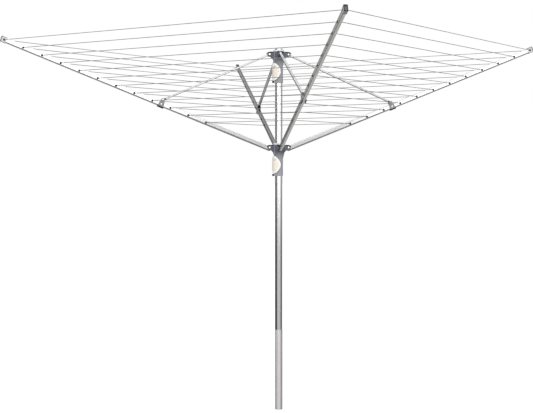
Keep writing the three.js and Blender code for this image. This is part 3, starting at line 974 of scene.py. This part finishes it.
def place_arm(arm, at):
    beside = at @ shift(BRACKET_ALONG, 0, 0)
    cradle = beside @ shift(0, 0, BRACKET_ABOVE)
    cap_finish = [cap_plastic, black_plastic, panel_plastic]
    pin = pin_mesh(**BRACKET_PIN)
    place(f"{arm}_extrusion", tube_shape.copy(), arm, [arm_metal], at, [f"{arm}_tube"])
    place(f"{arm}_grommets", grommets_shape.copy(), arm, [black_plastic], at)
    place(f"{arm}_end_cap", cap_shape.copy(), arm, cap_finish, at, [f"{arm}_tip_cap"])
    saddle, finish = bracket_shape.copy(), [bracket_plastic]
    place(f"{arm}_saddle", saddle, arm, finish, beside, [f"{arm}_bracket"])
    place(f"{arm}_foot", foot_shape.copy(), arm, [black_plastic], beside)
    place(f"{arm}_saddle_rivet", rivet_shape.copy(), arm, [pin_metal], beside, [f"{arm}_rivet"])
    place(f"{arm}_cradle_pin", pin, arm, [pin_metal], cradle, [f"{arm}_bracket_pin"])


def place_strut(strut, at):
    finish = [strut_metal, strut_flank_painted_shade, black_plastic, strut_trough_painted_shade]
    place(f"{strut}_bar", strut_shape.copy(), strut, finish, at, [strut])


def place_pivot_pin(link, hub, at):
    pin = pin_mesh(**HUB_PIN)
    place(f"{link}_pivot_pin", pin, hub, [pin_metal], at, [f"{link}_hub_pin"])


def place_lines(arm, at, stand_in):
    """An arm's halves of the lines, which are drawn in as it folds. stand_in: they replace the CAD's runs."""
    for side, word in ((1, "left"), (-1, "right")):
        for run in range(LINE["runs"]):
            label = f"{run + 1:02d}"
            line = moved(half_line_mesh(run, side), at)
            stands_for = [f"line_run_{label}"] if stand_in and side == 1 else []
            name = f"{arm}_line_{label}_{word}"
            piece = place(name, line, arm, [line_cord], stands_for=stands_for)
            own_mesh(piece)


tube_shape, cap_shape, bracket_shape, foot_shape = arm_mesh(), tip_cap_mesh(), bracket_mesh(), foot_mesh()
strut_shape, rivet_shape = strut_mesh(), rivet_mesh()
grommets_shape = joined([moved(grommet_mesh(), shift(hole_along(run), 0, 0)) for run in range(LINE["runs"])])
paint(cap_shape, 1, on_end)
paint(cap_shape, 2, in_panel)
# The strut's sides and the trough inside it get painted shade.
paint(strut_shape, 1, on_side)
paint(strut_shape, 3, in_trough)
paint(strut_shape, 2, on_socket)

for number, angle in enumerate(ARM_ANGLES, 1):
    arm, strut = f"arm_{number}", f"strut_{number}"
    arm_at, strut_at = arm_frame(angle), strut_frame(angle)
    place_arm(arm, arm_at)
    place_pivot_pin(arm, "lower_hub", arm_at @ shift(0, 0, ARM["drop"]))
    place_strut(strut, strut_at)
    place_pivot_pin(strut, "upper_hub", strut_at)
    place_lines(arm, arm_at, stand_in=number == 1)

# ---- camera, floor and light ----

camera_data = bpy.data.cameras.new("camera")
camera_data.sensor_width = CAMERA["sensor"]
camera_data.lens = CAMERA["lens"]
camera_data.shift_x = CAMERA["shift"]
camera_data.clip_end = 200
camera = bpy.data.objects.new("camera", camera_data)
azimuth = math.radians(CAMERA["azimuth"])
camera.location = (
    -CAMERA["distance"] * math.sin(azimuth),
    -CAMERA["distance"] * math.cos(azimuth),
    CAMERA["height"],
)
camera.rotation_euler = (math.radians(90 + CAMERA["pitch"]), 0, -azimuth)
bpy.context.scene.collection.objects.link(camera)
bpy.context.scene.camera = camera


def soft_light(name, location, aim, width, height, brightness):
    """A rectangular light that faces a point. Its power goes with its size, to look equally bright at any."""
    data = bpy.data.lights.new(name, "AREA")
    data.shape = "RECTANGLE"
    data.size, data.size_y = width, height
    data.energy = math.pi * width * height * brightness
    light = bpy.data.objects.new(name, data)
    light.location = location
    light.rotation_euler = (Vector(aim) - Vector(location)).to_track_quat("-Z", "Y").to_euler()
    light.visible_camera = False
    bpy.context.scene.collection.objects.link(light)


soft_light("front_wall", (0.0, -8.0, 3.6), (0, 0, 1.9), 13.0, 4.0, 2.1)
soft_light("left_box", (-6.0, -1.5, 3.0), (0, 0, 1.3), 2.0, 3.5, 1.2)
soft_light("overhead", (0.5, -1.0, 6.0), (0, 0, 1.5), 5.0, 5.0, 1.0)

# The floor glows, to come out white, and neither lights the pieces nor shows in what the metal mirrors.
floor_mesh = bpy.data.meshes.new("floor")
floor_corners = [(x, y, 0) for x, y in rectangle(FLOOR["half"], FLOOR["half"])]
floor_mesh.from_pydata(floor_corners, [], [(0, 1, 2, 3)])
floor = bpy.data.objects.new("floor", floor_mesh)
floor.location.z = -FLOOR["below"]
bpy.context.scene.collection.objects.link(floor)
floor_finish = Finish("floor_paint")
speckle = floor_finish.noise((30.0, 30.0, 30.0))
floor_finish.colour(floor_finish.mixed(speckle, shade(0.34), shade(0.38)))
floor_finish.roughness(speckle, 0.85, 0.95)
floor_finish.shader.inputs["Emission Color"].default_value = (1.0, 1.0, 1.0, 1.0)
floor_finish.shader.inputs["Emission Strength"].default_value = FLOOR["glow"]
floor.visible_diffuse = False
floor.visible_glossy = False
floor_mesh.materials.append(floor_finish.material)

# White to the camera. What the metal mirrors and what lights the pieces is a greyer room: brightest in front
# and on the left, darkest behind on the right. Below the horizon it is dim except in front, and it is lighter
# again at the bottom.
world = bpy.data.worlds.new("studio")
world.use_nodes = True
bpy.context.scene.world = world
nodes, links = world.node_tree.nodes, world.node_tree.links
room = nodes["Background"]
white = nodes.new("ShaderNodeBackground")
for background in (room, white):
    background.inputs["Color"].default_value = (1.0, 1.0, 1.0, 1.0)
direction = nodes.new("ShaderNodeTexCoord").outputs["Generated"]
parts = nodes.new("ShaderNodeSeparateXYZ")
links.new(direction, parts.inputs["Vector"])
rise = parts.outputs["Z"]

MIX_LEVELS = (2, 3)  # the number sockets among the Mix node's inputs
MIXED_LEVEL = 0


def blended(factor, first, second):
    """Between two grey levels, each a number or a socket."""
    node = nodes.new("ShaderNodeMix")
    links.new(factor, node.inputs["Factor"])
    for index, level in zip(MIX_LEVELS, (first, second)):
        socket = node.inputs[index]
        if isinstance(level, float):
            socket.default_value = level
        else:
            links.new(level, socket)
    return node.outputs[MIXED_LEVEL]


def ramp(value, start, end):
    """0 up to start and 1 from end on."""
    node = nodes.new("ShaderNodeMapRange")
    node.interpolation_type = "SMOOTHSTEP"
    node.inputs["From Min"].default_value = start
    node.inputs["From Max"].default_value = end
    links.new(value, node.inputs["Value"])
    return node.outputs["Result"]


def toward(angle):
    """How much a direction points towards an angle about Z."""
    node = nodes.new("ShaderNodeVectorMath")
    node.operation = "DOT_PRODUCT"
    node.inputs[1].default_value = (math.cos(math.radians(angle)), math.sin(math.radians(angle)), 0)
    links.new(direction, node.inputs[0])
    return node.outputs["Value"]


FRONT_LEFT = -120.0
FRONT = -108.0
horizon = blended(ramp(toward(FRONT_LEFT), -0.9, 0.2), 0.2, 0.95)
ground = blended(ramp(toward(FRONT), 0.3, 1.0), 0.2, 0.75)
below = blended(ramp(rise, -0.6, -0.3), 0.8, ground)
above = blended(ramp(rise, 0.1, 0.8), horizon, 0.7)
links.new(blended(ramp(rise, -0.12, 0.02), below, above), room.inputs["Strength"])
path = nodes.new("ShaderNodeLightPath")
choose = nodes.new("ShaderNodeMixShader")
links.new(path.outputs["Is Camera Ray"], choose.inputs["Fac"])
links.new(room.outputs["Background"], choose.inputs[1])
links.new(white.outputs["Background"], choose.inputs[2])
links.new(choose.outputs["Shader"], nodes["World Output"].inputs["Surface"])

bpy.context.scene.view_settings.view_transform = "Standard"
